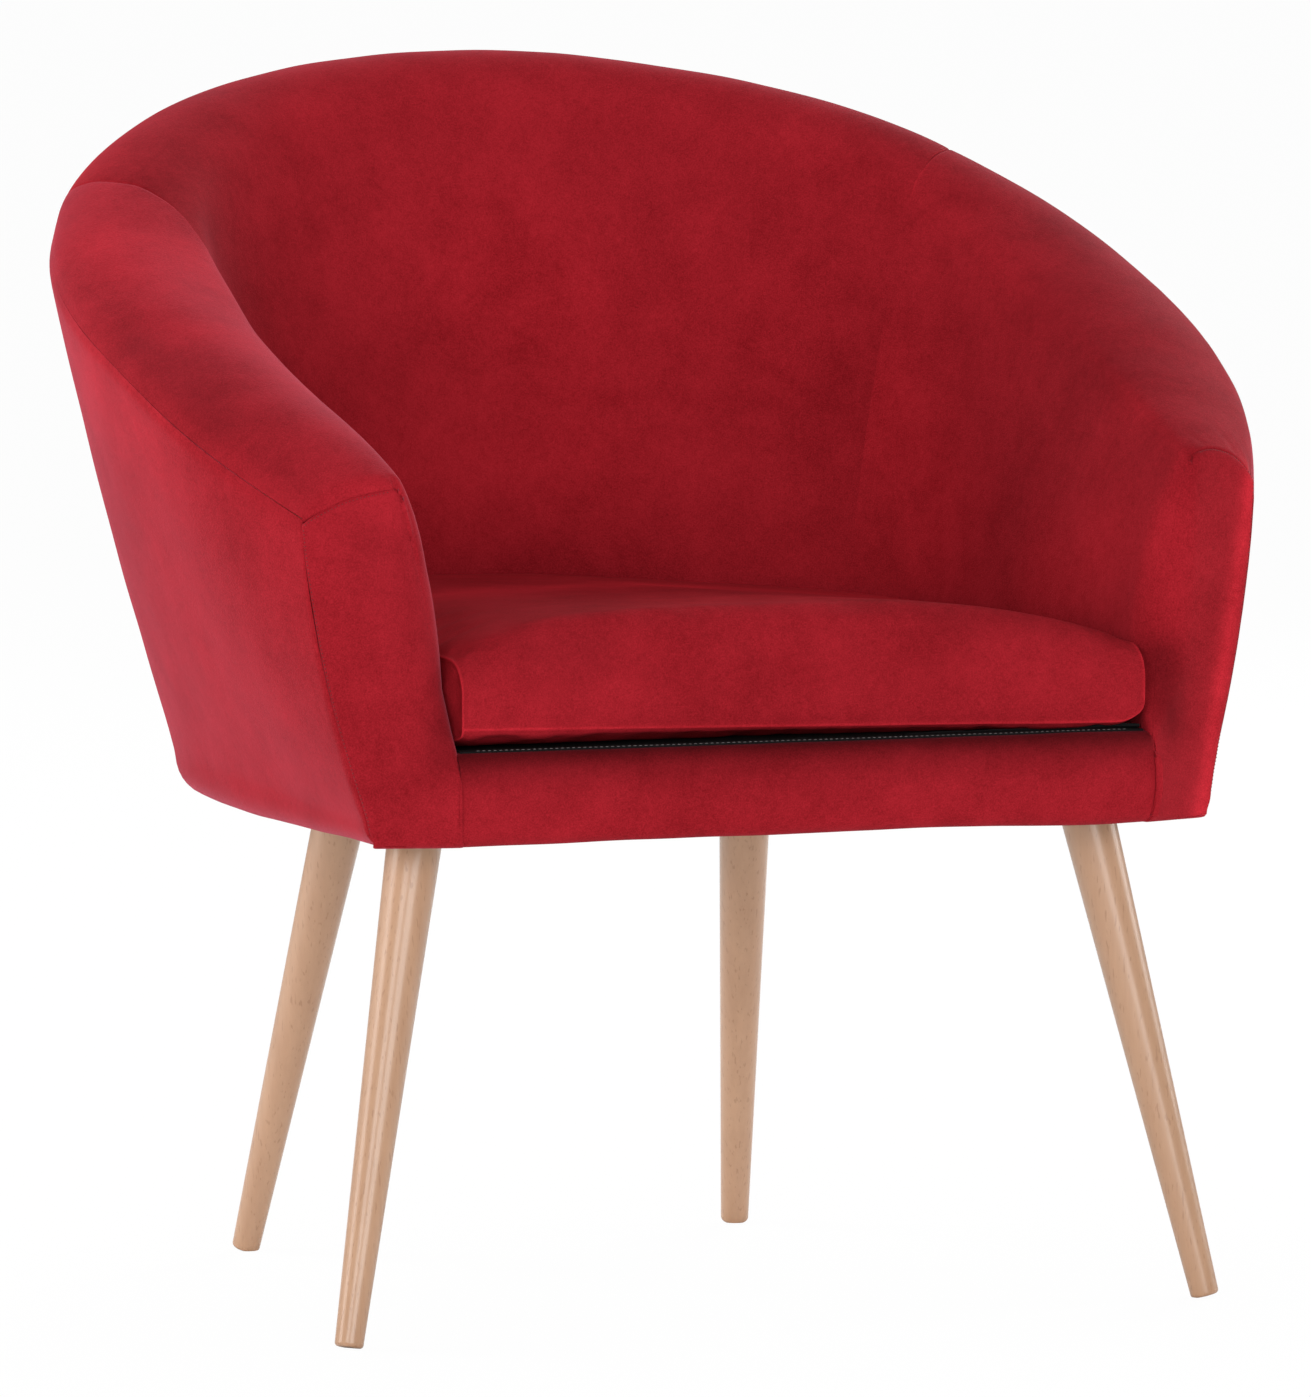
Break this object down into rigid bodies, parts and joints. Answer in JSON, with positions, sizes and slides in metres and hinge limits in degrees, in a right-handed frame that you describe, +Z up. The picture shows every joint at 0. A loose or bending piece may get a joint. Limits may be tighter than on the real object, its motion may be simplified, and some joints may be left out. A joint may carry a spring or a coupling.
{
  "type": "armchair",
  "caption": "Upholstered velvet tub armchair: a curved one-piece back and arms round a loose crowned seat cushion, on splayed tapered wooden legs.",
  "frame": {"origin": "on the floor, midway between the chair's front and back and between its sides", "axes": "+Z up, -Y towards the front, +X to the viewer's right when the chair is seen from the front"},
  "size_m": [0.7604, 0.63, 0.7754],
  "materials": {
    "velvet": "short-pile upholstery velvet, red, with a pale pink sheen at grazing angles",
    "foam": "open-cell seating foam, cream",
    "frame_timber": "raw pine and plywood",
    "hardboard": "raw hardboard",
    "beech": "natural beech, satin lacquer",
    "webbing": "woven elastic webbing",
    "platform_cloth": "black woven platform cloth",
    "dust_cloth": "black non-woven dust cloth",
    "steel": "zinc-plated steel"
  },
  "bodies": {
    "chair": {"arm_cover_left": "velvet", "arm_cover_right": "velvet", "back_cover": "velvet", "outside_cover_left": "velvet", "outside_cover_right": "velvet", "outside_cover_back": "velvet", "arm_front_cover_left": "velvet", "arm_front_cover_right": "velvet", "front_rail_cover": "velvet", "arm_pad_left": "foam", "arm_pad_right": "foam", "back_pad": "foam", "arm_front_pad_left": "foam", "arm_front_pad_right": "foam", "front_rail_pad": "foam", "deck_pad": "foam", "front_rail": "frame_timber", "base_rail_left": "frame_timber", "base_rail_right": "frame_timber", "base_rail_back": "frame_timber", "top_rail_left": "frame_timber", "top_rail_right": "frame_timber", "top_rail_back": "frame_timber", "front_post_left": "frame_timber", "front_post_right": "frame_timber", "side_post_left": "frame_timber", "side_post_right": "frame_timber", "corner_post_left": "frame_timber", "corner_post_right": "frame_timber", "back_post_left": "frame_timber", "back_post_right": "frame_timber", "corner_block_front_left": "frame_timber", "corner_block_front_right": "frame_timber", "corner_block_rear_left": "frame_timber", "corner_block_rear_right": "frame_timber", "inside_board_left": "hardboard", "inside_board_right": "hardboard", "inside_board_back": "hardboard", "outside_board_left": "hardboard", "outside_board_right": "hardboard", "outside_board_back": "hardboard", "leg_front_left": "beech", "leg_front_right": "beech", "leg_rear_left": "beech", "leg_rear_right": "beech", "straps_lengthwise": "webbing", "straps_crosswise": "webbing", "deck_cloth": "platform_cloth", "dust_cover": "dust_cloth", "leg_bolts": "steel", "threaded_inserts": "steel"},
    "cushion": {"cushion_cover": "velvet", "cushion_core": "foam"}
  },
  "joints": [
    {"name": "cushion_lift", "type": "slide", "parent": "chair", "child": "cushion", "axis": [0, 0, 1], "range_m": [0, 0.42]}
  ]
}
